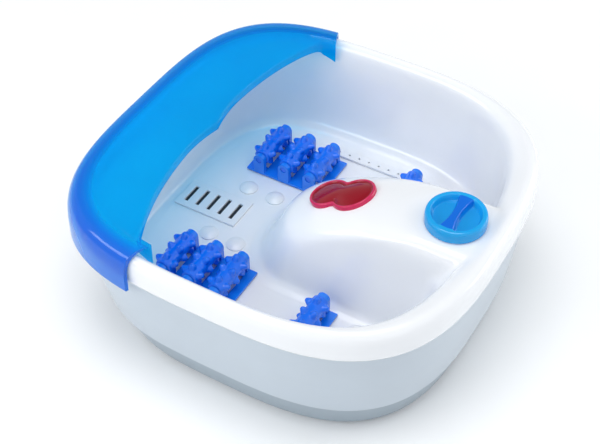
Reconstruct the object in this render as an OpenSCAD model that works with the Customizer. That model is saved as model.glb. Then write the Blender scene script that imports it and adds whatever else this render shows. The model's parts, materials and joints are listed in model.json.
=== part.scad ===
// Foot spa basin: a white basin with a console between two foot wells, on a grey
// housing and base pan, with a lift-off splash guard, massage rollers, a mode knob,
// an infrared window, and the blower, valve, heaters, lamps and switch inside.
// Millimetres. +Z is up, +Y is the toe end, the origin is under the middle of the feet.

/* [Basin] */
// Half of the rim's width
half_w = 180; // [176:1:184]
// From the origin to the rim at the heel end
heel_len = 186; // [183:1:188]
// From the origin to the rim at the toe end
toe_len = 184; // [181:1:186]
// How square the heel half of the outline is
heel_power = 3.0; // [2.7:0.1:3.4]
// How square the toe half of the outline is
toe_power = 3.5; // [3.2:0.1:3.8]
// Height of the rim's crest
rim_z = 145; // [143:1:147]
// Height of the well floor
floor_z = 42; // [41:0.5:43]

/* [Console] */
// Knob and switch axis, along Y
knob_y = -139; // [-141:1:-136]
// Knob radius
knob_r = 27; // [24:0.5:29]
// Height of the console's flat top
console_z = 142.5; // [142:0.5:143.5]
// Tilt of the infrared window about X
lens_tilt = -23.5; // [-26:0.5:-21]

/* [Rollers] */
// Spacing of the front rollers, along Y
roller_pitch = 28; // [27:0.5:29]
// Radius over a roller's knobs
roller_r = 12.5; // [11.5:0.5:12.5]
// Length of a roller's barrel
roller_len = 44; // [42:1:45]

/* [Blower] */
// Motor and fan axis height
motor_z = 60; // [59:1:61]

/* [Hidden] */

ring_n = 64;                 // points round each lofted outline
skin = 3;                    // wall of the moulded shells
foot_h = 3;                  // how far the feet stand below the pan
axle_z = floor_z + 18;       // roller axis height
front_tray = [86, 66];       // middle of a front roller tray
rear_tray = [93, -50];       // middle of a rear roller tray
tray_rail_x = 25;            // from a tray's middle to its side rail
tray_lift = 1.2;             // tray plates over the floor
pin_r = 3;                   // roller end pins
pin_gap = 0.08;              // running clearance of pins and shafts
strip_x = 126;               // bubble strips, from the middle
strip_len = 120;
motor_y = [-86, -40];        // ends of the motor can
motor_r = 17;
rotor_shaft_r = 2;
cradle_y = [-78, -50];       // saddles under the motor
fan_y = [-23, -11];
volute_y = [-28, -6];
volute_r = 30;
valve_at = [38.5, -15];      // non-return valve, in plan
valve_z = 44;                // its underside
hose_bend = 12;              // radius of the hose's U bend
manifold_z = [31, 38.8];
switch_top = console_z - skin;
gland_z = 20;
gland_y = 128;               // inner end of the cord gland's boss
clamp_y = 112;
grille_y = 110;
screw_at = [[62, 122], [128, -66], [96, -118]];
foot_at = [[108, 90], [112, -110]];

// ---- outlines and lofts ----

// Radius of a superellipse at an angle
function squircle(phi, a, b, n) =
    pow(pow(abs(cos(phi)) / a, n) + pow(abs(sin(phi)) / b, n), -1 / n);

// Point on the basin's outline, taken in by [side, heel, toe] at height z
function outline(phi, inset, z) =
    let (heel = sin(phi) < 0,
         b = heel ? heel_len - inset[1] : toe_len - inset[2],
         r = squircle(phi, half_w - inset[0], b, heel ? heel_power : toe_power))
    [r * cos(phi), r * sin(phi), z];

function ring(inset, z, n = ring_n) = [for (i = [0:n - 1]) outline(360 * i / n, inset, z)];

// Triangles of the side between ring j and ring k
function band(j, k, n) = [for (i = [0:n - 1]) let (m = (i + 1) % n)
    each [[j * n + i, k * n + i, k * n + m], [j * n + i, k * n + m, j * n + m]]];

// Cap of a ring that starts at o: one face, or rungs between the two halves of a mirrored ring
function cap(o, n, mirrored) = mirrored ?
    [for (i = [0:n / 2 - 2]) each
        [[o + i, o + i + 1, o + n - 2 - i], [o + i, o + n - 2 - i, o + n - 1 - i]]] :
    [[for (i = [0:n - 1]) o + i]];

function flipped(faces) = [for (f = faces) [for (i = [len(f) - 1:-1:0]) f[i]]];

// Closed solid through a list of rings, capped at both ends
module capped(rings, mirrored = false) {
    n = len(rings[0]);
    last = len(rings) - 1;
    polyhedron(
        points = [for (r = rings) each r],
        faces = concat(cap(0, n, mirrored), [for (j = [0:last - 1]) each band(j, j + 1, n)],
            flipped(cap(last * n, n, mirrored))),
        convexity = 8);
}

// Closed hoop through a list of rings, the last joined to the first
module hoop(rings) {
    n = len(rings[0]);
    count = len(rings);
    polyhedron(
        points = [for (r = rings) each r],
        faces = [for (j = [0:count - 1]) each band(j, (j + 1) % count, n)],
        convexity = 8);
}

// ---- basin ----

// [side, heel, toe, z] from the floor's underside, round the rim, to the floor's top
tub_profile = [
    [50, 62, 40, floor_z - skin], [36, 48, 31, floor_z - 1.5], [27, 38, 26, floor_z + 5],
    [21, 33, 22.5, 62], [17, 28, 18, 91], [14, 25, 14, 124], [12, 22, 12, 136], [8, 14, 8, 141],
    [4.5, 6, 4.5, 139], [3, 3, 3, 133], [3.2, 3.2, 3.2, 118],
    [0.4, 0.4, 0.4, 118], [0, 0, 0, 128], [0.8, 0.8, 0.8, 137], [3.4, 3.8, 3.4, 142.6],
    [7.5, 9.5, 7.5, rim_z], [11, 17, 11, 143], [14.5, 24, 14.5, 137.5], [16.5, 28, 16.5, 128],
    [20, 31, 21, 91], [24, 36, 25.5, 62], [29, 41, 28.5, 50], [38, 50, 33, 43.6],
    [50, 62, 40, floor_z]
];

// [z, half width, tip y, rear y] of the console's outside
console_profile = [
    [floor_z - 1, 62, 48, -158], [47, 57, 43, -158], [60, 53.5, 35, -159], [91, 48, 20, -160],
    [108, 45.5, -2, -160], [120, 43.5, -25, -160.5], [130, 41.5, -48, -162],
    [137, 38.5, -70, -168], [141, 34.5, -86, -171], [console_z, 31, -92, -174]
];
tip_len = 42;      // length of the console's rounded tip
flare = 24;        // radius where the console's sides turn into the heel wall
hollow_back = -157;

// Console outline at height z: an elliptic tip, straight sides, and a flare of radius f
function finger(z, w, tip, back, f) =
    let (root = back + 7 + f,
         rear = f == 0 ? [[w, back, z]] :
             concat([[w, back, z], [w + f, back + 6, z]],
                    [for (a = [0:-15:-75]) [w + f + f * sin(a), root - f * cos(a), z]]),
         start = f == 0 ? back : root,
         side = concat(rear, [for (k = [0.2:0.2:0.8]) [w, start + (tip - tip_len - start) * k, z]]),
         flip = [for (i = [len(side) - 1:-1:0]) [-side[i][0], side[i][1], z]])
    concat(side, [for (a = [0:12:180]) [w * cos(a), tip - tip_len + tip_len * sin(a), z]], flip);

module console_solid() {
    capped([for (p = console_profile) finger(p[0], p[1], p[2], p[3], flare)], true);
}

// The hollow under the console, open below the floor
module console_hollow() {
    first = console_profile[0];
    capped(concat(
        [finger(30, first[1] - skin, first[2] - skin, hollow_back, 0)],
        [for (p = console_profile)
            finger(p[0] - skin, p[1] - skin, p[2] - skin, hollow_back, 0)]), true);
}

// Window outline: two lobes joined by a neck
module lens_shape(grow) {
    offset(r = 6 + grow) offset(r = -6) {
        translate([0, -8]) circle(r = 21, $fn = 32);
        translate([0, 18]) circle(r = 19, $fn = 32);
        translate([0, 6]) square([24, 20], center = true);
    }
}

lens_pos = [0, -36, 121];
module at_lens() {
    translate(lens_pos) rotate([lens_tilt, 0, 0]) children();
}

module screw_posts(r1, r2, z1, z2) {
    for (p = screw_at, s = [-1, 1])
        translate([s * p[0], p[1], z1]) cylinder(r1 = r1, r2 = r2, h = z2 - z1, $fn = 16);
}

// Low ridge between two points on the well floor
module floor_ridge(a, b) {
    hull() {
        translate([a[0], a[1], floor_z - 1]) sphere(r = 3.4, $fn = 8);
        translate([b[0], b[1], floor_z - 1]) sphere(r = 3.4, $fn = 8);
    }
}

module tub() {
    color("white") difference() {
        union() {
            capped([for (p = tub_profile) ring([p[0], p[1], p[2]], p[3])]);
            console_solid();
            for (s = [-1, 1], y = [-116, -104, -92, -80])
                floor_ridge([s * 90, y], [s * 114, y]);
            screw_posts(5.5, 5.5, 12, floor_z - 1);
        }
        console_hollow();
        translate([0, knob_y, 120]) cylinder(r = 5.1, h = 40, $fn = 32);
        at_lens() translate([0, 0, -12]) linear_extrude(30) lens_shape(0.3);
        translate([-14.5, grille_y - 30, floor_z - 10]) cube([29, 60, 20]);
        for (s = [-1, 1])
            translate([s * strip_x - 3.5, 4 - strip_len / 2, floor_z - 10])
                cube([7, strip_len - 8, 20]);
        screw_posts(1.75, 1.75, 5, 32);
    }
}

// ---- housing and pan ----

module housing_ring() {
    color([0.80, 0.84, 0.87]) hoop([
        ring([14.6, 13.6, 24.6], 36), ring([12, 11, 22], 36), ring([7.2, 7, 12], 72),
        ring([4.4, 4.4, 5.4], 112), ring([3.8, 3.8, 3.8], 118), ring([3.8, 3.8, 3.8], 128),
        ring([6.4, 6.4, 6.4], 128), ring([7, 7, 8], 112), ring([10, 9.6, 14.6], 72)
    ]);
}

module gland_bore(r) {
    translate([0, gland_y - 10, gland_z]) rotate([-90, 0, 0]) cylinder(r = r, h = 50, $fn = 32);
}

module base_pan() {
    color([0.66, 0.70, 0.74]) difference() {
        union() {
            capped([
                ring([28, 26, 45], foot_h), ring([23, 21, 40], 5), ring([14.2, 13.2, 24.2], 33),
                ring([13, 12, 23], 36), ring([15, 14, 25], 36), ring([15.2, 14.2, 25.2], 41),
                ring([17.2, 16.2, 27.2], 41), ring([17.6, 16.6, 27.6], 33), ring([26, 24, 43], 6)
            ]);
            screw_posts(7, 6.5, 5, 12);
            translate([0, gland_y, gland_z]) rotate([-90, 0, 0])
                cylinder(r = 9.5, h = 23, $fn = 40);
            translate([-14, clamp_y - 4, 5]) cube([28, 8, 13]);
        }
        gland_bore(6.7);
        translate([0, clamp_y - 10, 19]) rotate([-90, 0, 0]) cylinder(r = 3.4, h = 14, $fn = 32);
        for (s = [-1, 1])
            translate([s * 9, clamp_y, 9]) cylinder(r = 1.5, h = 20, $fn = 24);
        screw_posts(4.2, 4.2, 0, 9);
        screw_posts(2.3, 2.3, 0, 20);
        for (p = foot_at, s = [-1, 1])
            translate([s * p[0], p[1], 0]) cylinder(r = 4.4, h = 10, $fn = 24);
    }
}

module rubber_feet() {
    color([0.16, 0.17, 0.18]) for (p = foot_at, s = [-1, 1]) translate([s * p[0], p[1], 0])
        rotate_extrude($fn = 48)
            polygon([[0, 0], [10.5, 0], [12, 1], [12, foot_h], [4, foot_h], [4, 6],
                     [5.2, 6.1], [3.6, 9], [0, 9]]);
}

module screw(shank_r, head_r, head_h, length) {
    difference() {
        union() {
            cylinder(r = shank_r, h = length, $fn = 24);
            translate([0, 0, -head_h]) cylinder(r = head_r, h = head_h, $fn = 32);
        }
        for (a = [0, 90]) rotate(a)
            translate([-head_r * 0.6, -0.5, -head_h - 1]) cube([head_r * 1.2, 1, 2]);
    }
}

module base_screws() {
    color("silver") for (p = screw_at, s = [-1, 1]) translate([s * p[0], p[1], 9])
        screw(1.7, 3.8, 2.4, 20);
}

// ---- well floor pieces ----

module floor_grille() {
    slots = 5;
    pitch = 12.6;
    color([0.90, 0.93, 0.96]) difference() {
        union() {
            translate([-18, grille_y - 34, floor_z]) cube([36, 68, 2.4]);
            translate([-14, grille_y - 29.5, floor_z - 5]) cube([28, 59, 5.5]);
        }
        for (i = [0:slots - 1])
            translate([-11, grille_y + (i - (slots - 1) / 2) * pitch - 2, floor_z - 6])
                cube([22, 4, 12]);
    }
}

module bubble_strip(side) {
    wide = 10;
    holes = 10;
    color([0.88, 0.92, 0.96]) translate([side * strip_x, 0, floor_z]) difference() {
        union() {
            translate([-wide / 2, -strip_len / 2, 0.6]) cube([wide, strip_len, 2]);
            translate([-3.2, 4.3 - strip_len / 2, -5]) cube([6.4, strip_len - 8.6, 6]);
        }
        translate([-2, 6 - strip_len / 2, -6]) cube([4, strip_len - 12, 7]);
        for (i = [0:holes - 1])
            translate([0, (i - (holes - 1) / 2) * 11, -1]) cylinder(r = 1.1, h = 6, $fn = 16);
    }
}

dome_at = [[36, 92], [36, 62], [74, -88], [74, -112]];
module massage_domes() {
    color([0.93, 0.95, 0.98]) for (p = dome_at, s = [-1, 1])
        translate([s * p[0], p[1], floor_z]) intersection() {
            translate([0, 0, -12]) sphere(r = 16, $fn = 48);
            cylinder(r = 9, h = 6, $fn = 48);
        }
}

// ---- rollers ----

function tray_y(count, i) = (i - (count - 1) / 2) * roller_pitch;

module roller(side, middle, y) {
    rows = 3;
    knobs = 5;
    knob_ball = 3.8;
    color([0.05, 0.38, 0.93]) translate([side * middle[0], middle[1] + y, axle_z])
        rotate([0, 90, 0]) {
            cylinder(r = 8, h = roller_len, center = true, $fn = 48);
            cylinder(r = pin_r, h = 2 * tray_rail_x + 4, center = true, $fn = 32);
            for (k = [0:rows - 1], a = [0:knobs - 1])
                rotate((a + k / 2) * 360 / knobs)
                    translate([roller_r - knob_ball, 0, (k - 1) * 14.5])
                        sphere(r = knob_ball, $fn = 24);
        }
}

// Tray with two side rails, bored for the pins of its rollers
module roller_tray(side, middle, count) {
    long = (count - 1) * roller_pitch + 28;
    out = tray_rail_x + 2.5;
    color([0.10, 0.42, 0.92]) translate([side * middle[0], middle[1], floor_z])
        mirror([side < 0 ? 1 : 0, 0, 0]) difference() {
            union() {
                translate([0, 0, tray_lift]) linear_extrude(2.2)
                    polygon([[-out, -long / 2], [out, -long / 2], [out, long / 2 - 14],
                             [out - 14, long / 2], [-out, long / 2]]);
                for (x = [-18, 14], y = [-1, 1])
                    translate([x, y * (long / 2 - 6)]) cylinder(r = 4, h = 2, $fn = 24);
                for (s = [-1, 1], i = [0:count - 1])
                    translate([s * tray_rail_x - 2.5, tray_y(count, i), tray_lift]) {
                        translate([0, -6, 0]) cube([5, 12, axle_z - floor_z - tray_lift]);
                        translate([0, 0, axle_z - floor_z - tray_lift]) rotate([0, 90, 0])
                            cylinder(r = 6, h = 5, $fn = 40);
                    }
            }
            for (i = [0:count - 1]) translate([0, tray_y(count, i), 0]) {
                translate([0, 0, axle_z - floor_z]) rotate([0, 90, 0])
                    cylinder(r = pin_r + pin_gap, h = 100, center = true, $fn = 32);
                translate([-18, -5, -1]) cube([36, 10, 6]);
            }
        }
}

// ---- splash guard ----

guard_horn = 22;             // angle of the guard's ends above the X axis
guard_n = 44;                // stations along the guard
// Toe-side edge of the roof at x, with a small point between the feet
function roof_edge(x) = 106 - 42 * pow(abs(x) / 180, 2.6)
    - 6 * pow(max(0, 1 - abs(x) / 45), 2);

// One station: t runs from -1 to 1 along the guard. inner lists the underside from the
// skirt's foot to the lip, and the other list comes back over the top.
function guard_station(t, inner) =
    let (phi = 90 - t * (90 - guard_horn),
         out = function(d, z) outline(phi, [-d, -d, -d], z),
         far = outline(phi, [17, 17, 17], 0),
         near = outline(phi, [21, 21, 21], 0),
         lip = [near[0], min(roof_edge(near[0]), near[1])],
         gap = [lip[0] - far[0], lip[1] - far[1]],
         d = gap / norm(gap),
         at = function(e, z) [lip[0] + d[0] * e, lip[1] + d[1] * e, z],
         mid = function(k, z) [far[0] + gap[0] * k, far[1] + gap[1] * k, z],
         drop = 142 - 14 * pow(abs(t), 8))
    inner ?
        [out(2.6, 112), out(2, 132), out(0.2, 140), out(-4.5, 146.6), out(-11, 148.9),
         mid(0, 148.8), mid(0.4, 147.6), at(-1.4, 148.6), at(-1.3, 147.4), at(-1.2, drop)] :
        [at(0.9, drop), at(1.2, 150.4), at(0, 151.4), mid(0.4, 150.2), mid(0, 151.6),
         out(-11, 151.6), out(-2.6, 149.6), out(2.6, 143), out(4.8, 133), out(5.4, 112)];

module splash_guard() {
    stations = [for (i = [0:guard_n - 1])
        let (t = 1 - 2 * i / (guard_n - 1)) concat(guard_station(t, true), guard_station(t, false))];
    m = len(stations[0]);
    last = guard_n - 1;
    half = m / 2;
    color([0.05, 0.55, 0.92, 0.75]) polyhedron(
        points = [for (s = stations) each s],
        faces = concat(
            [for (i = [0:half - 2]) each [[i, m - 2 - i, m - 1 - i], [i, i + 1, m - 2 - i]]],
            [for (j = [0:last - 1]) for (i = [0:m - 1]) let (k = (i + 1) % m)
                each [[j * m + i, (j + 1) * m + i, (j + 1) * m + k],
                      [j * m + i, (j + 1) * m + k, j * m + k]]],
            [for (i = [0:half - 2]) let (o = last * m)
                each [[o + i, o + m - 2 - i, o + i + 1], [o + i, o + m - 1 - i, o + m - 2 - i]]]),
        convexity = 8);
}

// ---- knob and switch ----

// Round bar with a flat on one side
module d_bar(r, h) {
    intersection() {
        cylinder(r = r, h = h, $fn = 40);
        translate([-2 * r, -2 * r, -1]) cube([3.6 * r, 4 * r, h + 2]);
    }
}

module knob() {
    base = console_z + 0.6;
    high = 11.2;
    hub_z = 3.6;
    color([0.05, 0.62, 0.90, 0.8]) translate([0, knob_y, base]) difference() {
        rotate_extrude($fn = 96)
            polygon([[0, hub_z], [5.6, hub_z], [5.6, hub_z + 0.8], [knob_r - 2.6, hub_z + 0.8],
                     [knob_r - 2.6, 0], [knob_r, 0], [knob_r, high - 2.6],
                     [knob_r - 0.7, high - 0.9], [knob_r - 2.2, high], [0, high]]);
        for (s = [-1, 1]) intersection() {
            translate([0, 0, high - 4]) cylinder(r1 = knob_r - 8, r2 = knob_r - 4, h = 5, $fn = 64);
            translate([-knob_r, s > 0 ? 5 : -5 - knob_r, high - 6])
                cube([2 * knob_r, knob_r, 8]);
        }
        translate([0, 0, hub_z - 1]) d_bar(3, 6.4);
    }
}

module switch_shaft() {
    color("gainsboro") translate([0, knob_y, 0]) {
        translate([0, 0, console_z + 3.8]) d_bar(3, 5.8);
        translate([0, 0, switch_top - 15]) cylinder(r = 3, h = 22, $fn = 40);
        translate([0, 0, switch_top - 13]) cylinder(r = 9.4, h = 3, $fn = 48);
        translate([7, 0, switch_top - 14]) cylinder(r = 1.4, h = 2, $fn = 24);
    }
}

module switch_body() {
    half = 13;
    color([0.20, 0.20, 0.22]) translate([0, knob_y, 0]) difference() {
        union() {
            translate([-half, -half, switch_top - 18]) cube([2 * half, 2 * half, 17.8]);
            translate([0, 0, switch_top - 1]) cylinder(r = 5, h = 7.2, $fn = 40);
        }
        translate([0, 0, switch_top - 19]) cylinder(r = 10.5, h = 14, $fn = 48);
        translate([0, 0, switch_top - 6]) cylinder(r = 3 + pin_gap, h = 20, $fn = 40);
    }
}

module switch_contacts() {
    color("peru") translate([0, knob_y, switch_top - 20]) {
        translate([-13, -13, 0]) cube([26, 26, 1.9]);
        for (x = [-9, -3, 3, 9]) translate([x - 1, -0.4 - 8, -6]) cube([2, 0.8, 6.5]);
        for (a = [0:45:135]) rotate(a - 45) translate([7, 0, 1.5]) cylinder(r = 1.2, h = 2, $fn = 24);
    }
}

module switch_nut() {
    color("silver") translate([0, knob_y, console_z + 0.9]) difference() {
        cylinder(r = 8, h = 2, $fn = 6);
        translate([0, 0, -1]) cylinder(r = 5, h = 5, $fn = 40);
    }
}

module switch_gasket() {
    color([0.12, 0.12, 0.13]) translate([0, knob_y, console_z]) difference() {
        cylinder(r = 9.5, h = 0.9, $fn = 48);
        translate([0, 0, -1]) cylinder(r = 5.05, h = 3, $fn = 40);
    }
}

// ---- infrared window ----

module ir_lens() {
    color([0.70, 0.03, 0.12, 0.85]) at_lens() {
        translate([0, 0, -5.5]) linear_extrude(1.9) lens_shape(2.6);
        translate([0, 0, -4]) linear_extrude(9) lens_shape(0);
        translate([0, 0, 4.5]) linear_extrude(2.2) lens_shape(-1.6);
        translate([0, 0, 6.5]) linear_extrude(1.2) lens_shape(-4.2);
    }
}

module lens_gasket() {
    color([0.12, 0.12, 0.13]) at_lens() translate([0, 0, -3.6]) linear_extrude(0.8) difference() {
        lens_shape(2.6);
        lens_shape(0.2);
    }
}

lamp_y = [-10, 16];
module lamp_holder() {
    color([0.86, 0.86, 0.84]) at_lens() difference() {
        union() {
            translate([-16, -26, -18]) cube([32, 56, 3]);
            for (x = [-14, 14], y = [-22, 26])
                translate([x, y, -16]) cylinder(r = 2, h = 10.5, $fn = 24);
        }
        for (y = lamp_y) translate([0, y, -20]) cylinder(r = 4.3, h = 8, $fn = 32);
    }
}

module ir_lamps() {
    color([0.95, 0.75, 0.65]) at_lens() for (y = lamp_y) translate([0, y, 0]) {
        translate([0, 0, -19.5]) cylinder(r = 4.1, h = 8, $fn = 32);
        translate([0, 0, -10.6]) sphere(r = 4, $fn = 32);
    }
}

module lamp_reflector() {
    color("silver") at_lens() difference() {
        translate([-11.5, -23, -15]) cube([23, 50, 7]);
        for (y = lamp_y) translate([0, y, -16]) cylinder(r1 = 4.5, r2 = 9.6, h = 8.1, $fn = 48);
    }
}

// ---- motor and blower ----

module at_motor(y) {
    translate([0, y, motor_z]) rotate([-90, 0, 0]) children();
}

module motor_can() {
    long = motor_y[1] - motor_y[0];
    color([0.70, 0.71, 0.73]) at_motor(motor_y[0]) difference() {
        cylinder(r = motor_r, h = long, $fn = 64);
        translate([0, 0, 1.5]) cylinder(r = motor_r - 1.5, h = long - 3, $fn = 64);
        translate([0, 0, -1]) cylinder(r = 5.5, h = long + 2, $fn = 40);
    }
}

module motor_bearings() {
    color("gold") for (y = [motor_y[0], motor_y[1] - 4]) at_motor(y) difference() {
        cylinder(r = 5.5, h = 4, $fn = 40);
        translate([0, 0, -1]) cylinder(r = rotor_shaft_r + pin_gap, h = 6, $fn = 32);
    }
}

module motor_shaft() {
    color("silver") {
        at_motor(-104) cylinder(r = rotor_shaft_r, h = 94, $fn = 32);
        at_motor(motor_y[0] + 7) cylinder(r = 12, h = 32, $fn = 48);
    }
}

module eccentric_weight() {
    color([0.45, 0.46, 0.48]) at_motor(-102) difference() {
        union() {
            cylinder(r = 5, h = 9, $fn = 32);
            intersection() {
                cylinder(r = 14, h = 9, $fn = 48);
                translate([-14, 0, -1]) cube([28, 14, 11]);
            }
        }
        translate([0, 0, -1]) cylinder(r = rotor_shaft_r, h = 12, $fn = 32);
    }
}

module blower_fan() {
    blades = 12;
    fan_r = 25.5;
    wide = fan_y[1] - fan_y[0];
    color([0.92, 0.92, 0.90]) at_motor(fan_y[0]) difference() {
        union() {
            cylinder(r = fan_r, h = 1.6, $fn = 64);
            cylinder(r = 5, h = wide, $fn = 32);
            for (a = [0:blades - 1]) rotate(a * 360 / blades)
                translate([12, -0.6, 1]) cube([fan_r - 12.6, 1.2, wide - 1]);
        }
        translate([0, 0, -1]) cylinder(r = rotor_shaft_r, h = wide + 2, $fn = 32);
    }
}

module blower_housing() {
    wide = volute_y[1] - volute_y[0];
    low = motor_z - volute_r;
    color([0.84, 0.85, 0.86]) difference() {
        union() {
            at_motor(volute_y[0]) cylinder(r = volute_r, h = wide, $fn = 72);
            translate([0, volute_y[0], low]) cube([valve_at[0] + 9, wide, valve_z - low]);
        }
        at_motor(volute_y[0] + 2) cylinder(r = volute_r - 2.5, h = wide, $fn = 72);
        at_motor(volute_y[0] - 1) cylinder(r = 7, h = 5, $fn = 40);
        translate([4, volute_y[0] + 2, low + 2]) cube([valve_at[0] + 3, wide - 4, valve_z - low - 4]);
        translate([valve_at[0], valve_at[1], valve_z - 4]) cylinder(r = 3, h = 8, $fn = 32);
    }
}

module blower_cover() {
    color([0.84, 0.85, 0.86]) at_motor(volute_y[1]) difference() {
        cylinder(r = volute_r, h = 2, $fn = 72);
        translate([0, 0, -1]) cylinder(r = 9, h = 5, $fn = 40);
    }
}

module motor_cradle() {
    half = 22.5;
    color([0.78, 0.79, 0.80]) difference() {
        union() {
            translate([-half - 9, cradle_y[0] - 8, 10]) cube([2 * half + 18, 44, 3]);
            for (y = cradle_y) translate([-half, y - 4, 12]) cube([2 * half, 8, motor_z - 14]);
        }
        at_motor(motor_y[0] - 10) cylinder(r = motor_r, h = 80, $fn = 64);
        for (y = cradle_y, s = [-1, 1])
            translate([s * 20.4, y, motor_z - 16]) cylinder(r = 1.2, h = 30, $fn = 24);
        for (y = cradle_y, s = [-1, 1])
            translate([s * 27, y, 8]) cylinder(r = 2, h = 8, $fn = 24);
    }
}

module motor_mounts() {
    color([0.14, 0.14, 0.15]) for (y = cradle_y, s = [-1, 1]) translate([s * 27, y, 6]) {
        cylinder(r = 3, h = 4, $fn = 24);
        cylinder(r = 2, h = 8.5, $fn = 24);
        translate([0, 0, 7]) cylinder(r = 2.8, h = 2, $fn = 24);
    }
}

module motor_straps() {
    color("silver") for (y = cradle_y) difference() {
        union() {
            at_motor(y - 3) cylinder(r = motor_r + 1.2, h = 6, $fn = 64);
            translate([-22.8, y - 3, motor_z - 2]) cube([45.6, 6, 1.5]);
        }
        at_motor(y - 4) cylinder(r = motor_r, h = 8, $fn = 64);
        translate([-30, y - 10, motor_z - 32]) cube([60, 20, 30]);
        for (s = [-1, 1]) translate([s * 20.4, y, motor_z - 5]) cylinder(r = 1.2, h = 8, $fn = 24);
    }
}

module strap_screws() {
    color("dimgray") for (y = cradle_y, s = [-1, 1])
        translate([s * 20.4, y, motor_z - 0.5]) rotate([180, 0, 0])
            screw(1.15, 2.1, 1.4, 12);
}

// ---- air valve, hose and manifold ----

module at_valve(z) {
    translate([valve_at[0], valve_at[1], z]) children();
}

module valve_body() {
    color([0.90, 0.90, 0.88]) difference() {
        at_valve(valve_z) cylinder(r = 7.5, h = 28, $fn = 48);
        at_valve(valve_z - 1) cylinder(r = 3, h = 30, $fn = 32);
        at_valve(valve_z + 6) cylinder(r = 5.5, h = 20, $fn = 40);
    }
}

module valve_seal() {
    color([0.14, 0.14, 0.15]) at_valve(valve_z + 6) difference() {
        cylinder(r = 5.5, h = 2, $fn = 40);
        translate([0, 0, -1]) cylinder(r = 2.6, h = 4, $fn = 32);
    }
}

module valve_ball() {
    color([0.85, 0.30, 0.10]) at_valve(valve_z + 11.5) sphere(r = 4, $fn = 48);
}

module hose_run(r) {
    at_valve(valve_z + 28) translate([0, -hose_bend, 0]) rotate([90, 0, 90])
        rotate_extrude(angle = 180, $fn = 64) translate([hose_bend, 0]) circle(r = r, $fn = 32);
    at_valve(manifold_z[1]) translate([0, -2 * hose_bend, 0])
        cylinder(r = r, h = valve_z + 28 - manifold_z[1], $fn = 32);
}

module air_hose() {
    color([0.82, 0.84, 0.86]) difference() {
        hose_run(5);
        hose_run(3.2);
    }
}

// Channel of the manifold, less d on every side
module manifold_run(d) {
    low = manifold_z[0] + d;
    high = manifold_z[1] - manifold_z[0] - 2 * d;
    bar_y = valve_at[1] - 2 * hose_bend;
    translate([-strip_x, bar_y - 7 + d, low]) cube([2 * strip_x, 14 - 2 * d, high]);
    for (s = [-1, 1])
        translate([s * strip_x - 6 + d, -58 + d, low]) cube([12 - 2 * d, 116 - 2 * d, high]);
}

module air_manifold() {
    color([0.84, 0.85, 0.86]) difference() {
        manifold_run(0);
        manifold_run(1.5);
        at_valve(manifold_z[1] - 4) translate([0, -2 * hose_bend, 0])
            cylinder(r = 3.2, h = 10, $fn = 32);
        for (s = [-1, 1])
            translate([s * strip_x - 3.2, 4.3 - strip_len / 2, manifold_z[1] - 3])
                cube([6.4, strip_len - 8.6, 5]);
    }
}

// ---- heating ----

module heater(side) {
    color([0.80, 0.62, 0.20]) translate([side * 87 - 24, -22, floor_z - skin - 1.6])
        cube([48, 84, 1.5]);
}

module thermostat() {
    color([0.25, 0.25, 0.27]) translate([87, 20, floor_z - skin - 8]) {
        cylinder(r = 8, h = 6.4, $fn = 48);
        for (s = [-1, 1]) translate([s * 4 - 1.5, -0.4, -5]) cube([3, 0.8, 6]);
    }
}

module thermal_fuse() {
    color([0.85, 0.80, 0.70]) translate([-93, 20, floor_z - skin - 4.1]) rotate([0, 90, 0]) {
        cylinder(r = 2.5, h = 12, $fn = 32);
        translate([0, 0, -6]) cylinder(r = 0.6, h = 24, $fn = 24);
    }
}

// ---- power inlet and wiring ----

terminal_y = 84;
module terminal_block() {
    ways = 4;
    color([0.95, 0.95, 0.92]) difference() {
        translate([-20, terminal_y - 7, 6]) cube([40, 14, 12]);
        for (i = [0:ways - 1]) translate([(i - 1.5) * 9, terminal_y, 0]) {
            translate([0, -3, 14]) cylinder(r = 2, h = 6, $fn = 24);
            translate([0, 3, 14]) cylinder(r = 2, h = 6, $fn = 24);
            translate([0, -8, 11]) rotate([-90, 0, 0]) cylinder(r = 1.8, h = 5, $fn = 24);
            translate([0, 3, 11]) rotate([-90, 0, 0]) cylinder(r = 1.8, h = 5, $fn = 24);
        }
    }
}

module cord_gland() {
    color([0.18, 0.18, 0.20]) difference() {
        translate([0, gland_y - 2, gland_z]) rotate([-90, 0, 0]) {
            cylinder(r = 6.65, h = 26, $fn = 40);
            translate([0, 0, 25]) cylinder(r = 9, h = 4, $fn = 40);
        }
        gland_bore(3.6);
    }
}

module cord_clamp() {
    color([0.18, 0.18, 0.20]) difference() {
        translate([-13, clamp_y - 3.5, 19]) cube([26, 7, 5]);
        translate([0, clamp_y - 10, 19]) rotate([-90, 0, 0]) cylinder(r = 3.4, h = 20, $fn = 32);
        for (s = [-1, 1])
            translate([s * 9, clamp_y, 10]) cylinder(r = 1.6, h = 20, $fn = 24);
    }
}

module clamp_screws() {
    color("silver") for (s = [-1, 1]) translate([s * 9, clamp_y, 24]) rotate([180, 0, 0])
        screw(1.45, 3, 1.8, 13);
}

// Direction of a wire at point i of its path
function heading(path, i) =
    let (v = path[min(i + 1, len(path) - 1)] - path[max(i - 1, 0)]) v / norm(v);

// Wire of radius r through a list of points
module wire(path, r) {
    capped([for (i = [0:len(path) - 1])
        let (t = heading(path, i), side = cross(t, [1, 0, 0]), u = side / norm(side), v = cross(t, u))
            [for (a = [0:30:330]) path[i] + r * (cos(a) * u + sin(a) * v)]]);
}

module wire_harness() {
    color([0.15, 0.30, 0.65]) {
        wire([[-14, 75, 11], [-46, 56, 9.5], [-46, -112, 9.5], [-36, -132, 60], [-9, -147.4, 112]], 1.6);
        wire([[14, 75, 11], [60, 62, 12], [87, 50, 22], [91, 20, 26.8]], 1.2);
        wire([[-4, 75, 11], [-34, 38, 14], [-70, 36, 20], [-96, 20, 32]], 1.2);
    }
}

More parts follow.
